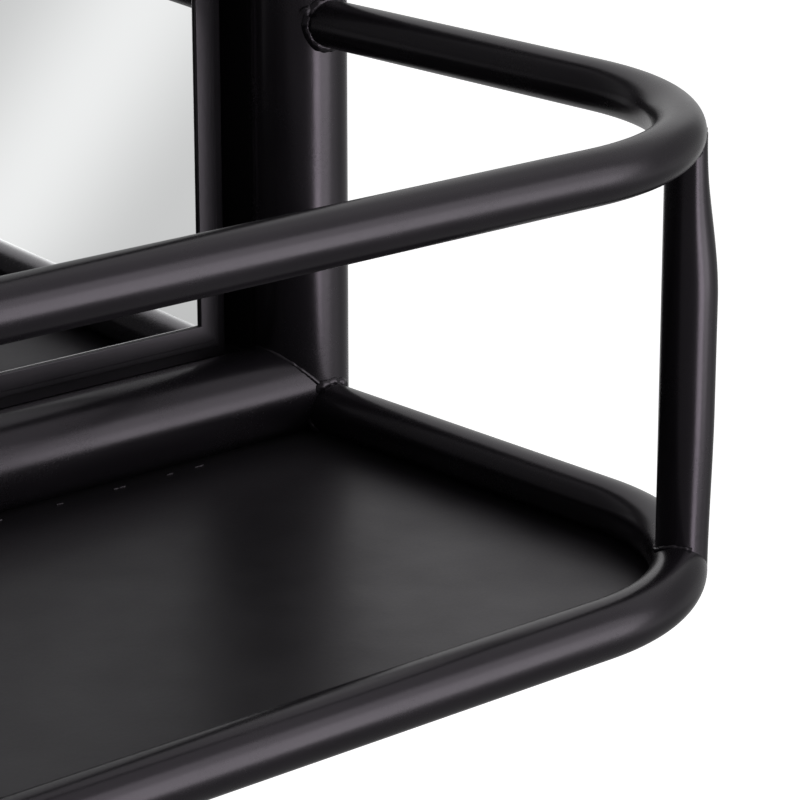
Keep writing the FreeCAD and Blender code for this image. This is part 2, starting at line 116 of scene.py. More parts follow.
# arcs in degrees: a bead all round a leg, its lumps on the upper side, and half of a post's bead
LEG_ARC = (-90, 272)
LUMP_ARC = (25, 155)
POST_HALF_ARC = 105

# flecks on the tray: their radius, and how far the toe of the dressed weld is from the bottom tube
FLECK_R = 0.22 * MM
WELD_TOE = 3.7 * MM

# the edging's section: the widths of its outer ledge and its step, how far behind the front these
# two lie, the thickness of its lip, how far the lip laps over the glass, and the edges' rounding
BEZEL_LEDGE = 2.8 * MM
BEZEL_STEP = 1.4 * MM
BEZEL_LEDGE_SINK = 2.4 * MM
BEZEL_STEP_SINK = 0.8 * MM
BEZEL_LIP = 0.7 * MM
BEZEL_LAP = 3.0 * MM
BEZEL_ROUND = 0.2 * MM

# the hinge pin's radius, the thickness of its head, and the chamfer at its tip
PIN_R = 2.5 * MM
PIN_HEAD = 1.6 * MM
PIN_CHAMFER = 0.6 * MM


# ---------------------------------------------------------------- mesh helpers

def link_mesh(name, mesh):
    """An object in the scene for a mesh."""
    piece = bpy.data.objects.new(name, mesh)
    scene.collection.objects.link(piece)
    return piece


def shade(mesh, sharp):
    """Smooth shading, except where the surface turns by more than sharp degrees."""
    mesh.polygons.foreach_set("use_smooth", [True] * len(mesh.polygons))
    mesh.set_sharp_from_angle(angle=math.radians(sharp))


def new_piece(name, vertices, faces, sharp=40):
    """An object from plain mesh data."""
    mesh = bpy.data.meshes.new(name)
    mesh.from_pydata([tuple(v) for v in vertices], [], faces)
    shell = bmesh.new()
    shell.from_mesh(mesh)
    bmesh.ops.recalc_face_normals(shell, faces=shell.faces)
    shell.to_mesh(mesh)
    shell.free()
    shade(mesh, sharp)
    return link_mesh(name, mesh)


def skin(rings, loop=False):
    """Vertices and faces of a surface through rings of equal length, capped unless it is a loop."""
    size = len(rings[0])
    count = len(rings)
    faces = []
    for i in range(count if loop else count - 1):
        a = i * size
        b = (i + 1) % count * size
        for k in range(size):
            m = (k + 1) % size
            faces.append((a + k, a + m, b + m, b + k))
    if not loop:
        faces.append(tuple(range(size)))
        faces.append(tuple((count - 1) * size + k for k in range(size)))
    return [p for ring in rings for p in ring], faces


def spaced(first, last, count):
    """Even values from first to last, both included."""
    return [first + (last - first) * k / (count - 1) for k in range(count)]


def turn_angles(sides):
    """Even angles round a full turn."""
    return [2 * math.pi * k / sides for k in range(sides)]


def quarter(steps):
    """Sine and cosine at even steps over a quarter turn, without its start."""
    angles = [math.pi / 2 * k / steps for k in range(1, steps + 1)]
    return [(math.sin(a), math.cos(a)) for a in angles]


def frames_along(path, loop=False):
    """Two axes across the path at each of its points, carried along without twist."""
    count = len(path)
    across = None
    made = []
    for i, point in enumerate(path):
        ahead = path[(i + 1) % count] if loop or i < count - 1 else point
        behind = path[i - 1] if loop or i > 0 else point
        tangent = (ahead - behind).normalized()
        if across is None:
            side = UP if abs(tangent.z) < 0.9 else Vector((0, 1, 0))
            across = tangent.cross(side)
        across = (across - tangent * across.dot(tangent)).normalized()
        made.append((across.copy(), tangent.cross(across)))
    return made


def rings_along(path, radius, sides, loop=False):
    """Round sections along a path; radius is a function of the point's index and the angle."""
    rings = []
    for i, (point, (u, v)) in enumerate(zip(path, frames_along(path, loop))):
        rings.append([
            point + (u * math.cos(a) + v * math.sin(a)) * radius(i, a) for a in turn_angles(sides)
        ])
    return rings


def bar_along(name, path, radius, sides=64):
    """A round bar along a path."""
    return new_piece(name, *skin(rings_along(path, lambda i, a: radius, sides)), sharp=60)


def weld_bead(name, path, radius, seed, loop=True, ripple=0.12, rough=0.45):
    """A hand-laid bead: a thin ridge that swells and shrinks in small overlapping drops."""
    offset = Vector((seed * 3.1, seed * 1.7, seed * 0.9))
    pitch = 2.2 * radius
    travel = 0.0
    drops = []
    for i, point in enumerate(path):
        travel += (point - path[i - 1]).length if i else 0.0
        drops.append(1 + ripple * math.sin(2 * math.pi * travel / pitch))

    def swell(i, a):
        lump = noise.noise(path[i] / (2.5 * radius) + offset)
        grain = noise.noise(path[i] / (0.8 * radius) + Vector((a, seed, 0)))
        return radius * drops[i] * (1 + rough * lump + 0.15 * grain)

    vertices, faces = skin(rings_along(path, swell, 14, loop), loop)
    return new_piece(name, vertices, faces, sharp=80)


def lathe(name, profile, at, along, sides=40):
    """A turned piece: profile points are (distance along the axis, radius), from end to end."""
    turn = UP.rotation_difference(Vector(along))
    rings = []
    for step, radius in profile:
        radius = max(radius, 1e-5)
        rings.append([
            Vector(at) + turn @ Vector((radius * math.cos(a), radius * math.sin(a), step))
            for a in turn_angles(sides)
        ])
    return new_piece(name, *skin(rings), sharp=35)


def dome(start, end, radius, crown, steps):
    """The domed end of a turned profile; its middle is flat out to crown times the radius."""
    curve = [(start + (end - start) * s, radius * (crown + (1 - crown) * c)) for s, c in quarter(steps)]
    return curve + [(end, 0.0)]


def rounded(corners, radius, steps=4):
    """A polygon's corners, each cut to an arc of the given radius."""
    made = []
    for i, corner in enumerate(corners):
        to_last = (corners[i - 1] - corner).normalized()
        to_next = (corners[(i + 1) % len(corners)] - corner).normalized()
        half = to_last.angle(to_next) / 2
        reach = radius / math.tan(half)
        middle = corner + (to_last + to_next).normalized() * (radius / math.sin(half))
        first = corner + to_last * reach - middle
        last = corner + to_next * reach - middle
        for share in spaced(0, 1, steps + 1):
            spoke = (first * (1 - share) + last * share).normalized() * radius
            made.append(middle + spoke)
    return made


def slab(name, low, high, radius, segments):
    """A box with rounded edges."""
    shell = bmesh.new()
    place = Matrix.Translation((low + high) / 2) @ Matrix.Diagonal((*(high - low), 1))
    bmesh.ops.create_cube(shell, size=1, matrix=place)
    bmesh.ops.bevel(
        shell, geom=shell.edges[:], offset=radius, segments=segments, profile=0.5, affect="EDGES"
    )
    mesh = bpy.data.meshes.new(name)
    shell.to_mesh(mesh)
    shell.free()
    shade(mesh, 40)
    return link_mesh(name, mesh)


def join(name, pieces):
    """Make one object of several."""
    shell = bmesh.new()
    for piece in pieces:
        shell.from_mesh(piece.data)
    mesh = bpy.data.meshes.new(name)
    shell.to_mesh(mesh)
    shell.free()
    for piece in pieces:
        bpy.data.objects.remove(piece)
    return link_mesh(name, mesh)


def finish_piece(piece, body, material, slot, *replaced):
    """Give a piece its material and its body, and hide the CAD nodes that it stands for; slot is not
    used.
    """
    piece.data.materials.clear()
    piece.data.materials.append(material)
    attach(piece, body)
    if replaced:
        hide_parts(*replaced)


# ---------------------------------------------------------------- materials

# the coat's reflections are a little purple
COAT_TINT = (0.98, 0.88, 1.0, 1)

# degrees by which the mirror's shading leans out of the vertical, as if its top stood forward
MIRROR_LEAN = 1.9


class Recipe:
    """A Principled material and short ways to add nodes to it."""

    def __init__(self, name, **settings):
        self.material = bpy.data.materials.new(name)
        self.material.use_nodes = True
        self.tree = self.material.node_tree
        self.shader = self.tree.nodes["Principled BSDF"]
        for socket, value in settings.items():
            self.shader.inputs[socket.replace("_", " ")].default_value = value
        self.place = self.tree.nodes.new("ShaderNodeTexCoord").outputs["Object"]

    def noise(self, size, detail=2.0, stretch=None):
        """Noise whose features are about size metres across."""
        node = self.tree.nodes.new("ShaderNodeTexNoise")
        node.inputs["Scale"].default_value = 1 / size
        node.inputs["Detail"].default_value = detail
        source = self.place
        if stretch:
            mapping = self.tree.nodes.new("ShaderNodeMapping")
            mapping.inputs["Scale"].default_value = stretch
            self.tree.links.new(source, mapping.inputs["Vector"])
            source = mapping.outputs["Vector"]
        self.tree.links.new(source, node.inputs["Vector"])
        return node.outputs["Fac"]

    def spread(self, source, low, high, start=0.3, end=0.7):
        """Map noise between start and end to values from low to high."""
        node = self.tree.nodes.new("ShaderNodeMapRange")
        node.inputs["From Min"].default_value = start
        node.inputs["From Max"].default_value = end
        node.inputs["To Min"].default_value = low
        node.inputs["To Max"].default_value = high
        self.tree.links.new(source, node.inputs["Value"])
        return node.outputs["Result"]

    def add(self, first, second):
        """The sum of two values."""
        node = self.tree.nodes.new("ShaderNodeMath")
        self.tree.links.new(first, node.inputs[0])
        self.tree.links.new(second, node.inputs[1])
        return node.outputs["Value"]

    def clouds(self, noise_value, dark, light):
        """Colour the surface between dark and light by a noise value."""
        node = self.tree.nodes.new("ShaderNodeMix")
        node.data_type = "RGBA"
        node.inputs["A"].default_value = (*dark, 1)
        node.inputs["B"].default_value = (*light, 1)
        self.tree.links.new(self.spread(noise_value, 0, 1), node.inputs["Factor"])
        self.tree.links.new(node.outputs["Result"], self.shader.inputs["Base Color"])

    def roughness(self, source):
        """Take the roughness from a value."""
        self.tree.links.new(source, self.shader.inputs["Roughness"])

    def bump(self, source, depth, strength=1.0, under=None):
        """Raise the surface by a value times depth, on top of the bump given as under."""
        node = self.tree.nodes.new("ShaderNodeBump")
        node.inputs["Strength"].default_value = strength
        node.inputs["Distance"].default_value = depth
        self.tree.links.new(source, node.inputs["Height"])
        if under:
            self.tree.links.new(under, node.inputs["Normal"])
        self.tree.links.new(node.outputs["Normal"], self.shader.inputs["Normal"])
        return node.outputs["Normal"]

    def lean(self, slope):
        """Tip the shading of an upright face that looks towards -Y, down for a positive slope."""
        split = self.tree.nodes.new("ShaderNodeSeparateXYZ")
        self.tree.links.new(self.place, split.inputs["Vector"])
        self.bump(split.outputs["Z"], slope)


def powder_coat(name, dark, light, rough, grain):
    """Satin black powder coat: fine orange peel, a little unevenness and faint handling marks."""
    paint = Recipe(name, IOR=1.5, Specular_Tint=COAT_TINT)
    paint.clouds(paint.noise(30 * MM, 3), dark, light)
    marks = paint.spread(paint.noise(14 * MM, 4), rough - 0.03, rough + 0.03)
    speck = paint.spread(paint.noise(0.5 * MM, 2), -0.02, 0.02)
    paint.roughness(paint.add(marks, speck))
    peel = paint.bump(paint.noise(1.6 * MM, 1), grain, 0.5)
    paint.bump(paint.noise(0.28 * MM, 2), 0.3 * grain, 0.5, under=peel)
    return paint.material


def steel(name, tint, rough, stretch=None):
    """Bare or plated steel with a fine directional grain."""
    metal = Recipe(name, Metallic=1.0)
    metal.clouds(metal.noise(3 * MM, 3), [0.8 * c for c in tint], tint)
    metal.roughness(metal.spread(metal.noise(0.6 * MM, 3, stretch), rough - 0.07, rough + 0.09))
    metal.bump(metal.noise(0.15 * MM, 2, stretch), 0.01 * MM, 0.5)
    return metal.material


def silvered_glass():
    """The mirror: silver behind clear glass, with the faintest of wiped smears."""
    glass = Recipe("mirror_silver", Metallic=1.0)
    glass.clouds(glass.noise(90 * MM, 2), (0.86, 0.87, 0.87), (0.89, 0.9, 0.9))
    glass.roughness(glass.spread(glass.noise(25 * MM, 4, (1, 1, 3)), 0.0, 0.012, 0.45, 0.8))
    glass.lean(math.tan(math.radians(MIRROR_LEAN)))
    return glass.material


def clear_glass():
    """Float glass shelf, a little green, with faint water marks."""
    glass = Recipe("shelf_glass_clear", IOR=1.52, Transmission_Weight=1.0)
    glass.clouds(glass.noise(60 * MM, 2), (0.9, 0.97, 0.94), (0.93, 0.98, 0.96))
    glass.roughness(glass.spread(glass.noise(9 * MM, 4), 0.0, 0.05, 0.5, 0.75))
    return glass.material


def moulded(name, dark, light, rough, grain, size=0.35 * MM):
    """Rubber, nylon or foam, with a fine moulded or cellular texture."""
    stuff = Recipe(name, IOR=1.48)
    stuff.clouds(stuff.noise(6 * MM, 3), dark, light)
    stuff.roughness(stuff.spread(stuff.noise(2 * MM, 3), rough - 0.06, rough + 0.06))
    stuff.bump(stuff.noise(size, 2), grain, 0.7)
    return stuff.material


COAT = powder_coat(
    "powder_coat_black",
    dark=(0.0053, 0.0046, 0.006),
    light=(0.0088, 0.0078, 0.0096),
    rough=0.25,
    grain=0.018 * MM,
)
SHEET_COAT = powder_coat(
    "powder_coat_black_sheet",
    dark=(0.0122, 0.0113, 0.0132),
    light=(0.0158, 0.0148, 0.0168),
    rough=0.36,
    grain=0.03 * MM,
)
MIRROR = silvered_glass()
GLASS = clear_glass()
ZINC = steel("zinc_plate", (0.56, 0.57, 0.58), 0.32)
BRIGHT = steel("bright_pin_steel", (0.6, 0.6, 0.6), 0.2, (1, 1, 8))
BRASS = steel("washer_brass", (0.72, 0.53, 0.24), 0.3)
NYLON = moulded("catch_nylon", (0.015, 0.015, 0.016), (0.022, 0.022, 0.023), 0.48, 0.02 * MM)
RUBBER = moulded("bumper_rubber_soft", (0.02, 0.02, 0.02), (0.035, 0.035, 0.034), 0.7, 0.02 * MM)
FOAM = moulded("foam_pad_cells", (0.05, 0.05, 0.05), (0.09, 0.09, 0.09), 0.85, 0.1 * MM, 0.8 * MM)


# ---------------------------------------------------------------- tube frame of the door

# how far each side of the door is turned about Y from the bottom one, in degrees
SIDES = {"bottom": 0, "right": -90, "top": 180, "left": 90}


def frame_tube(side):
    """A round tube mitred at both ends, laid along X and then turned to its side."""
    upright = side in HANDS
    half, reach = (FRAME_Z, FRAME_X) if upright else (FRAME_X, FRAME_Z)
    turn = Matrix.Rotation(math.radians(SIDES[side]), 4, "Y")
    rings = []
    for share in (-1, -0.6, -0.2, 0.2, 0.6, 1):
        ring = []
        for a in turn_angles(96):
            inward = TUBE_R * math.cos(a)
            x = share * (half - inward)
            ring.append(turn @ Vector((x, FRAME_Y + TUBE_R * math.sin(a), inward - reach)))
        rings.append(ring)
    piece = new_piece(f"frame_tube_{side}_round", *skin(rings), sharp=40)
    finish_piece(piece, "door", COAT, "powder_coat_tube", f"frame_tube_{side}")


def frame_seam(hand, end):
    """The dressed weld that runs round a mitred corner."""
    sx = HANDS[hand]
    sz = 1 if end == "top" else -1
    path = []
    for a in turn_angles(160):
        out = (TUBE_R - SEAM_SINK) * math.cos(a)
        y = FRAME_Y + (TUBE_R - SEAM_SINK) * math.sin(a)
        path.append(Vector((sx * (FRAME_X + out), y, sz * (FRAME_Z + out))))
    name = f"frame_seam_{hand}_{end}"
    seam = weld_bead(name, path, SEAM_BEAD, 4 + sx + 2 * sz, ripple=0.05, rough=0.3)
    finish_piece(seam, "door", COAT, "powder_coat_tube")


for side in SIDES:
    frame_tube(side)
for hand in HANDS:
    for end in ("bottom", "top"):
        frame_seam(hand, end)


# ---------------------------------------------------------------- rim and guard rail

def u_path(bend, level):
    """The line of a bent tube: from inside the left upright, round the front, to the right one."""
    front = SHELF_FRONT + bend
    path = [Vector((-FRAME_X, FRAME_Y, level))]
    for start, x in ((math.pi, bend - FRAME_X), (1.5 * math.pi, FRAME_X - bend)):
        for a in spaced(start, start + math.pi / 2, 41):
            path.append(Vector((x + bend * math.cos(a), front + bend * math.sin(a), level)))
    path.append(Vector((FRAME_X, FRAME_Y, level)))
    return path


def leg_weld(name, sx, level, radius, bead, arc, seed, rough):
    """A bead over an arc of the line where a leg meets the round front of an upright."""
    path = []
    for degrees in spaced(*arc, 120):
        a = math.radians(degrees)
        x = radius * math.cos(a)
        y = FRAME_Y - math.sqrt(TUBE_R ** 2 - x ** 2) + 0.25 * bead
        path.append(Vector((sx * (FRAME_X + x), y, level + radius * math.sin(a))))
    piece = weld_bead(name, path, bead, seed, loop=False, ripple=0.04, rough=rough)
    finish_piece(piece, "door", COAT, "powder_coat_tube")


def bent_tube(node, level, radius, bend, bead):
    """A tube bent to a U, with a bead and its lumps of paint at each end."""
    bent = bar_along(f"{node}_bent", u_path(bend, level), radius)
    finish_piece(bent, "door", COAT, "powder_coat_tube", node)
    lump = 1.1 * bead
    lump_line = radius + 0.6 * bead
    for hand, sx in HANDS.items():
        name = f"{node}_weld_{hand}"
        leg_weld(name, sx, level, radius, bead, LEG_ARC, 11 + sx, 0.3)
        leg_weld(f"{name}_top", sx, level, lump_line, lump, LUMP_ARC, 15 + sx, 0.9)


bent_tube("tray_rim_tube", RIM_Z, RIM_R, RIM_BEND, RIM_BEAD)
bent_tube("guard_rail_tube", RAIL_Z, RAIL_R, RAIL_BEND, RAIL_BEAD)


# ---------------------------------------------------------------- posts

def bend_centre(sx, bend):
    """The centre of a tube's front bend on one side, seen from above."""
    return Vector((sx * (FRAME_X - bend), SHELF_FRONT + bend, 0))


def off_axis(point, sx, bend):
    """How far a point lies, seen from above, from the line of a tube in its bend."""
    flat = Vector((point.x, point.y, 0)) - bend_centre(sx, bend)
    return flat.length - bend


def smooth_step(value):
    """Ease a value between 0 and 1 in and out."""
    return value ** 2 * (3 - 2 * value)


def guard_post(hand, middle, outward):
    """A post that stands a little outside the bends, dressed to run into the rail and the rim."""
    sx = HANDS[hand]
    past_rail = off_axis(middle, sx, RAIL_BEND) + POST_R - RAIL_R
    past_rim = off_axis(middle, sx, RIM_BEND) + POST_R - RIM_R
    rings = []
    for z in spaced(RIM_Z, RAIL_Z, 81):
        up = max(0.0, 1 - (RAIL_Z - z) / POST_FADE)
        down = max(0.0, 1 - (z - RIM_Z) / POST_FADE)
        dressed = past_rail * smooth_step(up) + past_rim * smooth_step(down)
        ring = []
        for a in turn_angles(72):
            spoke = Vector((math.cos(a), math.sin(a), 0))
            outer = max(0.0, spoke.dot(outward)) ** 1.5
            ring.append(middle + UP * z + spoke * (POST_R - dressed * outer))
        rings.append(ring)
    post = new_piece(f"guard_post_{hand}_dressed", *skin(rings), sharp=60)
    finish_piece(post, "door", COAT, "powder_coat_tube", f"guard_post_{hand}")


def post_weld(hand, middle, outward, tube, level, radius, bend, rise):
    """A bead round the inner side of a post; rise is 1 on top of a tube and -1 below one."""
    sx = HANDS[hand]
    inner = math.atan2(-outward.y, -outward.x)
    path = []
    for degrees in spaced(-POST_HALF_ARC, POST_HALF_ARC, 80):
        a = inner + math.radians(degrees)
        point = middle + Vector((math.cos(a), math.sin(a), 0)) * POST_R
        # the bead stays off the tube's side, where it would hang in the air
        off = min(abs(off_axis(point, sx, bend)), 0.93 * radius)
        point.z = level + rise * math.sqrt(radius ** 2 - off ** 2)
        path.append(point)
    name = f"guard_post_{hand}_weld_{tube}"
    bead = weld_bead(name, path, POST_BEAD, 21 + sx + rise, loop=False)
    finish_piece(bead, "door", COAT, "powder_coat_tube")


for hand, sx in HANDS.items():
    middle = Vector((sx * POST.x, POST.y, 0))
    outward = (middle - bend_centre(sx, RAIL_BEND)).normalized()
    guard_post(hand, middle, outward)
    post_weld(hand, middle, outward, "rail", RAIL_Z, RAIL_R, RAIL_BEND, -1)
    post_weld(hand, middle, outward, "rim", RIM_Z, RIM_R, RIM_BEND, 1)


# ---------------------------------------------------------------- welds of the tray plate

def tray_welds():
    """Small raised flecks along the toe of the dressed weld between the tube and the tray."""
    tube_front = FRAME_Y - math.sqrt(TUBE_R ** 2 - (TRAY_TOP + FRAME_Z) ** 2)
    toe = tube_front - WELD_TOE
    chance = random.Random(5)
    start = -FRAME_X + 2 * TUBE_R
    last = FRAME_X - TUBE_R - 12 * MM
    count = 0
    while start < last:
        length = chance.uniform(1.5, 5) * MM
        path = [Vector((x, toe, TRAY_TOP)) for x in spaced(start, start + length, 30)]
        bead = weld_bead(f"tray_weld_{count:02d}", path, FLECK_R, 31 + count, loop=False, rough=0.9)
        finish_piece(bead, "door", COAT, "powder_coat_tube")
        start += length + chance.uniform(5, 14) * MM
        count += 1


tray_welds()


# ---------------------------------------------------------------- mirror bezel

def bezel_strip(side):
    """A strip that rises from an outer ledge over a step to a lip that laps over the glass."""
    low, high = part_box(f"mirror_bezel_{side}")
    upright = side in HANDS
    half = (high.z - low.z if upright else high.x - low.x) / 2
    width = high.x - low.x if upright else high.z - low.z
    edge = {"left": -low.x, "right": high.x, "bottom": -low.z, "top": high.z}[side]
    step = BEZEL_LEDGE + BEZEL_STEP
    lap = width - BEZEL_LAP
    corners = [
        Vector((0, high.y)),
        Vector((0, low.y + BEZEL_LEDGE_SINK)),
        Vector((BEZEL_LEDGE, low.y + BEZEL_LEDGE_SINK)),
        Vector((BEZEL_LEDGE, low.y + BEZEL_STEP_SINK)),
        Vector((step, low.y + BEZEL_STEP_SINK)),
        Vector((step, low.y)),
        Vector((width, low.y)),
        Vector((width, low.y + BEZEL_LIP)),
        Vector((lap, low.y + BEZEL_LIP)),
        Vector((lap, high.y)),
    ]
    outline = rounded(corners, BEZEL_ROUND)
    turn = Matrix.Rotation(math.radians(SIDES[side]), 4, "Y")
    rings = []
    for share in (-1, -0.33, 0.33, 1):
        rings.append([turn @ Vector((share * (half - p.x), p.y, p.x - edge)) for p in outline])
    strip = new_piece(f"mirror_bezel_{side}_stepped", *skin(rings), sharp=30)
    finish_piece(strip, "door", SHEET_COAT, "powder_coat_sheet", f"mirror_bezel_{side}")


for side in SIDES:
    bezel_strip(side)


# ---------------------------------------------------------------- CAD nodes that stay

def dress(node, material):
    """Give a CAD node its material."""
    nodes[node].data.materials.clear()
    nodes[node].data.materials.append(material)


def soften(node, width=0.35 * MM):
    """Round a node's outer edges a little."""
    weld = nodes[node].modifiers.new("join", "WELD")
    weld.merge_threshold = 0.001 * MM
    bevel = nodes[node].modifiers.new("soften", "BEVEL")
    bevel.width = width
    bevel.segments = 2
    bevel.limit_method = "ANGLE"
    bevel.angle_limit = math.radians(60)


for node in ("tray_plate", "cabinet_side_left", "cabinet_side_right", "cabinet_back"):
    dress(node, SHEET_COAT)
for node in ("cabinet_floor", "cabinet_top", "door_back_pan"):
    dress(node, SHEET_COAT)
    soften(node)
for node in ("hinge_bracket_lower", "hinge_bracket_upper", "hinge_sleeve_lower", "hinge_sleeve_upper"):
    dress(node, COAT)
dress("mirror_glass", MIRROR)
dress("mirror_backing_pad", FOAM)
for node in ("catch_pole_plates", "catch_strike_plate"):
    dress(node, ZINC)
    soften(node, 0.2 * MM)
dress("catch_housing", NYLON)
soften("catch_housing", 0.8 * MM)
for node in ("hinge_washer_lower", "hinge_washer_upper"):
    dress(node, BRASS)


# ---------------------------------------------------------------- shelves and hardware

def islands(node):
    """The separate solids of a node, each as its lowest and highest corner."""
    shell = bmesh.new()
    shell.from_mesh(nodes[node].data)
    bmesh.ops.remove_doubles(shell, verts=shell.verts, dist=0.001 * MM)
    left = set(shell.verts)
    found = []
    while left:
        queue = [left.pop()]
        group = list(queue)
        while queue:
            for edge in queue.pop().link_edges:
                for vertex in edge.verts:
                    if vertex in left:
                        left.remove(vertex)
                        queue.append(vertex)
                        group.append(vertex)
        points = [v.co.copy() for v in group]
        low = Vector([min(p[i] for p in points) for i in range(3)])
        high = Vector([max(p[i] for p in points) for i in range(3)])
        found.append((low, high))
    shell.free()
    return sorted(found, key=lambda pair: tuple(pair[0]))


def shelf_peg(low, high, name):
    """A round peg with a small chamfer at the side sheet and a rounded nose."""
    inward = 1 if (low.x + high.x) < 0 else -1
    length = high.x - low.x
    radius = (high.z - low.z) / 2
    nose = 1.2 * MM
    start = Vector((low.x if inward > 0 else high.x, (low.y + high.y) / 2, (low.z + high.z) / 2))
    profile = [(0, 0.0), (0, 0.85 * radius), (0.4 * MM, radius), (length - nose, radius)]
    profile += dome(length - nose, length, radius, 1 - nose / radius, 6)
    return lathe(name, profile, start, (inward, 0, 0))


def dome_bumper(low, high, name):
    """A soft bumper, flat where it is stuck to the pan and domed at its free end."""
    radius = (high.x - low.x) / 2
    length = high.y - low.y
    start = Vector(((low.x + high.x) / 2, low.y, (low.z + high.z) / 2))
    flat = 0.45 * length
    profile = [(0, 0.0), (0, radius), (flat, radius)]
    profile += dome(flat, length, radius, 0.35, 8)
    return lathe(name, profile, start, (0, 1, 0))


def cut(piece, tool):
    """Take a tool's shape out of a piece and remove the tool."""
    cutter = piece.modifiers.new("recess", "BOOLEAN")
    cutter.operation = "DIFFERENCE"
    cutter.object = tool
    shaped = piece.evaluated_get(bpy.context.evaluated_depsgraph_get())
    mesh = bpy.data.meshes.new_from_object(shaped)
    piece.modifiers.clear()
    piece.data = mesh
    bpy.data.objects.remove(tool)


def pan_head(low, high, name):
    """A pan-head screw with a cross recess."""
    radius = (high.z - low.z) / 2
    height = high.x - low.x
    start = Vector((high.x, (low.y + high.y) / 2, (low.z + high.z) / 2))
    brim = 0.25 * height
    profile = [(0, 0.0), (0, radius * 0.96), (brim, radius)]
    profile += dome(brim, height, radius, 0.3, 9)
    head = lathe(name, profile, start, (-1, 0, 0), sides=48)
    for wide, tall in ((0.12, 0.62), (0.62, 0.12)):
        reach = Vector((0.55 * height, wide * radius, tall * radius))
        middle = Vector((low.x - 0.05 * height, start.y, start.z))
        cut(head, slab("recess", middle - reach, middle + reach, 0.1 * MM, 1))
    head.data.set_sharp_from_angle(angle=math.radians(35))
    return head


def hardware(shape, node, finish, body, material, slot):
    """One shape for each of a node's solids, joined into a single piece."""
    made = [shape(low, high, f"solid_{i}") for i, (low, high) in enumerate(islands(node))]
    finish_piece(join(f"{node}_{finish}", made), body, material, slot, node)


def glass_shelf(which):
    """A glass shelf with polished edges."""
    node = f"glass_shelf_{which}"
    shelf = slab(f"{node}_polished", *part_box(node), 0.9 * MM, 3)
    finish_piece(shelf, "cabinet", GLASS, "shelf_glass", node)


def hinge_pin(which):
    """A turned pin with a domed head below the knuckle and a chamfer at its tip."""
    node = f"hinge_pin_{which}"
    low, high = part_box(node)
    head_r = (high.x - low.x) / 2
    length = high.z - low.z
    start = Vector(((low.x + high.x) / 2, (low.y + high.y) / 2, low.z))
    profile = [(0, 0.0)]
    for rise, fall in quarter(7):
        profile.append((0.6 * PIN_HEAD * (1 - fall), head_r * (0.5 + 0.5 * rise)))
    profile += [(PIN_HEAD, head_r), (PIN_HEAD, PIN_R), (length - PIN_CHAMFER, PIN_R)]
    profile += [(length, PIN_R - PIN_CHAMFER), (length, 0.0)]
    pin = lathe(f"{node}_turned", profile, start, (0, 0, 1))
    finish_piece(pin, "cabinet", BRIGHT, "pin_steel", node)


for which in ("lower", "upper"):
    glass_shelf(which)
    hardware(shelf_peg, f"shelf_pegs_{which}", "turned", "cabinet", ZINC, "zinc_steel")
    hardware(pan_head, f"hinge_screws_{which}", "crossed", "cabinet", ZINC, "zinc_steel")
    hinge_pin(which)
hardware(dome_bumper, "door_bumpers", "domed", "door", RUBBER, "bumper_rubber")


# ---------------------------------------------------------------- studio sizes

# where the rail's right leg and its front would cross, were it not bent
CORNER = Vector((FRAME_X, SHELF_FRONT, RAIL_Z))

# headings are (azimuth, elevation) in degrees
CAMERA_HEADING = (-41.4, 17.67)
CAMERA_FROM_CORNER = Vector((-0.4294, -0.3839, 0.1341))

# lens and sensor in millimetres
CAMERA_LENS = 154.24
CAMERA_SENSOR = 36.0

# half the floor's width, and how far it lies below the object
FLOOR_REACH = 90.0
FLOOR_DROP = 0.32

# brightness against height, from straight down (0) over the horizon (0.5) to straight up (1)
FRONT_LEVELS = [
    (0.0, 0.16), (0.24, 0.2), (0.305, 0.36), (0.345, 0.66),
    (0.44, 0.66), (0.5, 0.5), (0.75, 0.5), (1.0, 0.65),
]
BACK_LEVELS = [
    (0.0, 0.3), (0.25, 0.4), (0.34, 0.6), (0.45, 0.6),
    (0.52, 0.62), (0.8, 0.7), (1.0, 0.65),
]

# how the front dims along X towards both sides, and how it gives way to the back along Y:
# each is (start, end, level before the start, level past the end)
DIM_LEFT = (-0.45, 0.2, 0.3, 1.0)
DIM_RIGHT = (0.78, 0.95, 1.0, 0.4)
TURN_TO_BACK = (0.3, 0.55, 0.0, 1.0)

# a diagonal band of light that crosses the mirror, through two headings
STREAK_START = (34.8, -18.2)
STREAK_END = (37.1, -14.8)
STREAK_WIDTH = 0.04
STREAK_LEVEL = 0.3


# ---------------------------------------------------------------- floor and sky

def heading(azimuth, elevation):
    """Unit vector towards a viewer: azimuth 0 is in front of the mirror, positive to the right."""
    a = math.radians(azimuth)
    e = math.radians(elevation)
    return Vector((math.sin(a) * math.cos(e), -math.cos(a) * math.cos(e), math.sin(e)))


def pale_floor():
    """A plain floor, wide enough that its edge lies at the horizon."""
    near, far = -FLOOR_REACH, FLOOR_REACH
    level = cad_box[0].z - FLOOR_DROP
    corners = [(near, near, level), (far, near, level), (far, far, level), (near, far, level)]
    floor = new_piece("floor", corners, [(0, 1, 2, 3)])
    paper = Recipe("floor_paper", Roughness=0.9, Emission_Color=(1, 1, 1, 1), Emission_Strength=0.65)
    paper.clouds(paper.noise(0.6, 3), (0.86, 0.86, 0.86), (0.89, 0.89, 0.89))
    floor.data.materials.append(paper.material)
    floor.visible_glossy = False
    floor.visible_diffuse = False
    floor.visible_shadow = False


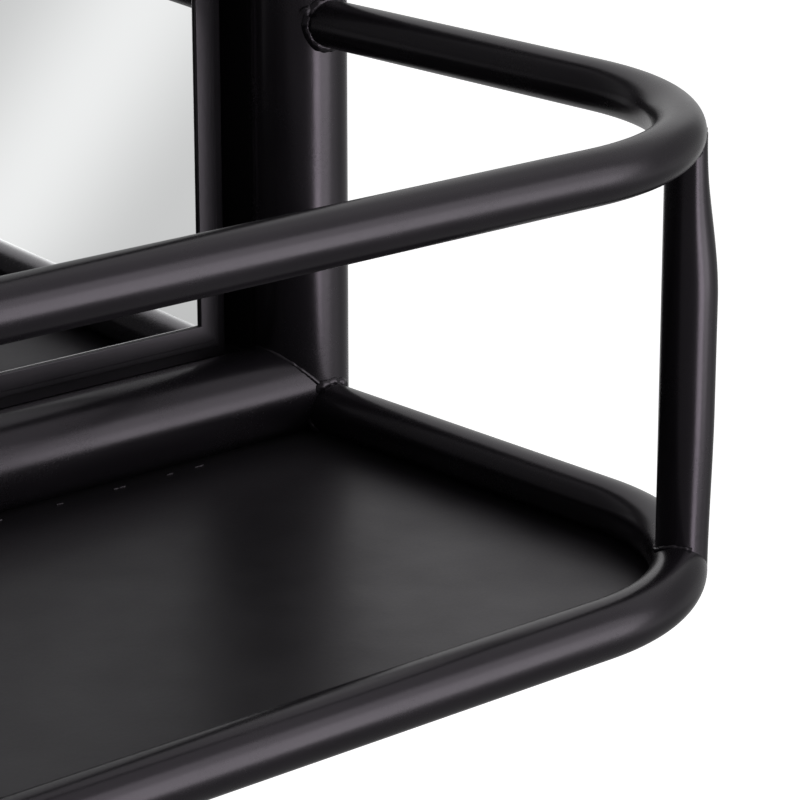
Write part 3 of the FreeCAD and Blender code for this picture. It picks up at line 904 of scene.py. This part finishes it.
class Sky:
    """The world's shader and short ways to add nodes to it."""

    def __init__(self):
        world = bpy.data.worlds.new("studio")
        scene.world = world
        world.use_nodes = True
        self.tree = world.node_tree
        self.back = self.tree.nodes["Background"]
        self.way = self.tree.nodes.new("ShaderNodeTexCoord").outputs["Generated"]

    def math(self, kind, *values):
        """One operation on numbers and sockets."""
        node = self.tree.nodes.new("ShaderNodeMath")
        node.operation = kind
        for socket, value in zip(node.inputs, values):
            if isinstance(value, (int, float)):
                socket.default_value = value
            else:
                self.tree.links.new(value, socket)
        return node.outputs["Value"]

    def dot(self, direction):
        """How far the view runs along a direction."""
        node = self.tree.nodes.new("ShaderNodeVectorMath")
        node.operation = "DOT_PRODUCT"
        self.tree.links.new(self.way, node.inputs[0])
        node.inputs[1].default_value = direction
        return node.outputs["Value"]

    def smooth(self, source, start, end, low, high):
        """Ease from low at start to high at end."""
        node = self.tree.nodes.new("ShaderNodeMapRange")
        node.interpolation_type = "SMOOTHSTEP"
        for name, value in (("From Min", start), ("From Max", end), ("To Min", low), ("To Max", high)):
            node.inputs[name].default_value = value
        self.tree.links.new(source, node.inputs["Value"])
        return node.outputs["Result"]

    def ramp(self, source, stops):
        """Brightness that runs through (place, level) stops."""
        node = self.tree.nodes.new("ShaderNodeValToRGB")
        elements = node.color_ramp.elements
        for i, (place, level) in enumerate(stops):
            stop = elements[i] if i < len(elements) else elements.new(place)
            stop.position = place
            stop.color = (level, level, level, 1)
        self.tree.links.new(source, node.inputs["Fac"])
        return node.outputs["Color"]


def studio_sky():
    """Soft surroundings, dim to both sides in front and below, with a streak for the mirror."""
    sky = Sky()
    height = sky.math("MULTIPLY_ADD", sky.dot((0, 0, 1)), 0.5, 0.5)
    front = sky.ramp(height, FRONT_LEVELS)
    for dim in (DIM_LEFT, DIM_RIGHT):
        front = sky.math("MULTIPLY", front, sky.smooth(sky.dot((1, 0, 0)), *dim))
    back = sky.ramp(height, BACK_LEVELS)
    turn = sky.smooth(sky.dot((0, 1, 0)), *TURN_TO_BACK)
    front = sky.math("MULTIPLY", front, sky.math("SUBTRACT", 1, turn))
    back = sky.math("MULTIPLY", back, turn)
    across = heading(*STREAK_START).cross(heading(*STREAK_END)).normalized()
    from_streak = sky.math("ABSOLUTE", sky.dot(across))
    streak = sky.smooth(from_streak, 0.0, STREAK_WIDTH, STREAK_LEVEL, 0.0)
    level = sky.math("ADD", sky.math("ADD", front, back), streak)
    sky.tree.links.new(level, sky.back.inputs["Strength"])
    sky.back.inputs["Color"].default_value = (1, 1, 1, 1)


pale_floor()
studio_sky()


# ---------------------------------------------------------------- lamps and camera

BROAD_SURFACES = bpy.data.collections.new("lights_not_on_broad_surfaces")
for node in ("mirror_glass", "tray_plate"):
    BROAD_SURFACES.objects.link(nodes[node])
for member in BROAD_SURFACES.collection_objects:
    member.light_linking.link_state = "EXCLUDE"


def softbox(name, azimuth, elevation, distance, radius, level, colour=(1, 1, 1)):
    """A round soft light that the tubes show, and that the mirror and the tray do not."""
    lamp = bpy.data.lights.new(name, "AREA")
    lamp.shape = "DISK"
    lamp.size = 2 * radius
    # the power that gives the disc a radiance of level
    lamp.energy = level * math.pi * math.pi * radius ** 2
    lamp.color = colour
    box = bpy.data.objects.new(name, lamp)
    scene.collection.objects.link(box)
    way = heading(azimuth, elevation)
    box.location = CORNER + way * distance
    box.rotation_mode = "QUATERNION"
    box.rotation_quaternion = way.to_track_quat("Z", "Y")
    box.visible_camera = False
    box.light_linking.receiver_collection = BROAD_SURFACES


def photo_camera():
    """A long lens close to the shelf's corner, which it sees from the left and a little above."""
    camera = bpy.data.objects.new("camera", bpy.data.cameras.new("camera"))
    scene.collection.objects.link(camera)
    camera.data.sensor_width = CAMERA_SENSOR
    camera.data.lens = CAMERA_LENS
    camera.data.clip_start = 0.01
    camera.data.clip_end = 400.0
    camera.location = CORNER + CAMERA_FROM_CORNER
    camera.rotation_mode = "QUATERNION"
    camera.rotation_quaternion = heading(*CAMERA_HEADING).to_track_quat("Z", "Y")
    scene.camera = camera


softbox("front_softbox", 22, 12, distance=1.6, radius=1.05, level=1.3)
softbox("horizon_softbox", 27, 0, distance=1.5, radius=0.5, level=1.2)
softbox("low_softbox", 3, -17, distance=1.4, radius=0.27, level=4.0, colour=(1.0, 0.95, 1.0))
photo_camera()
scene.view_settings.view_transform = "Standard"
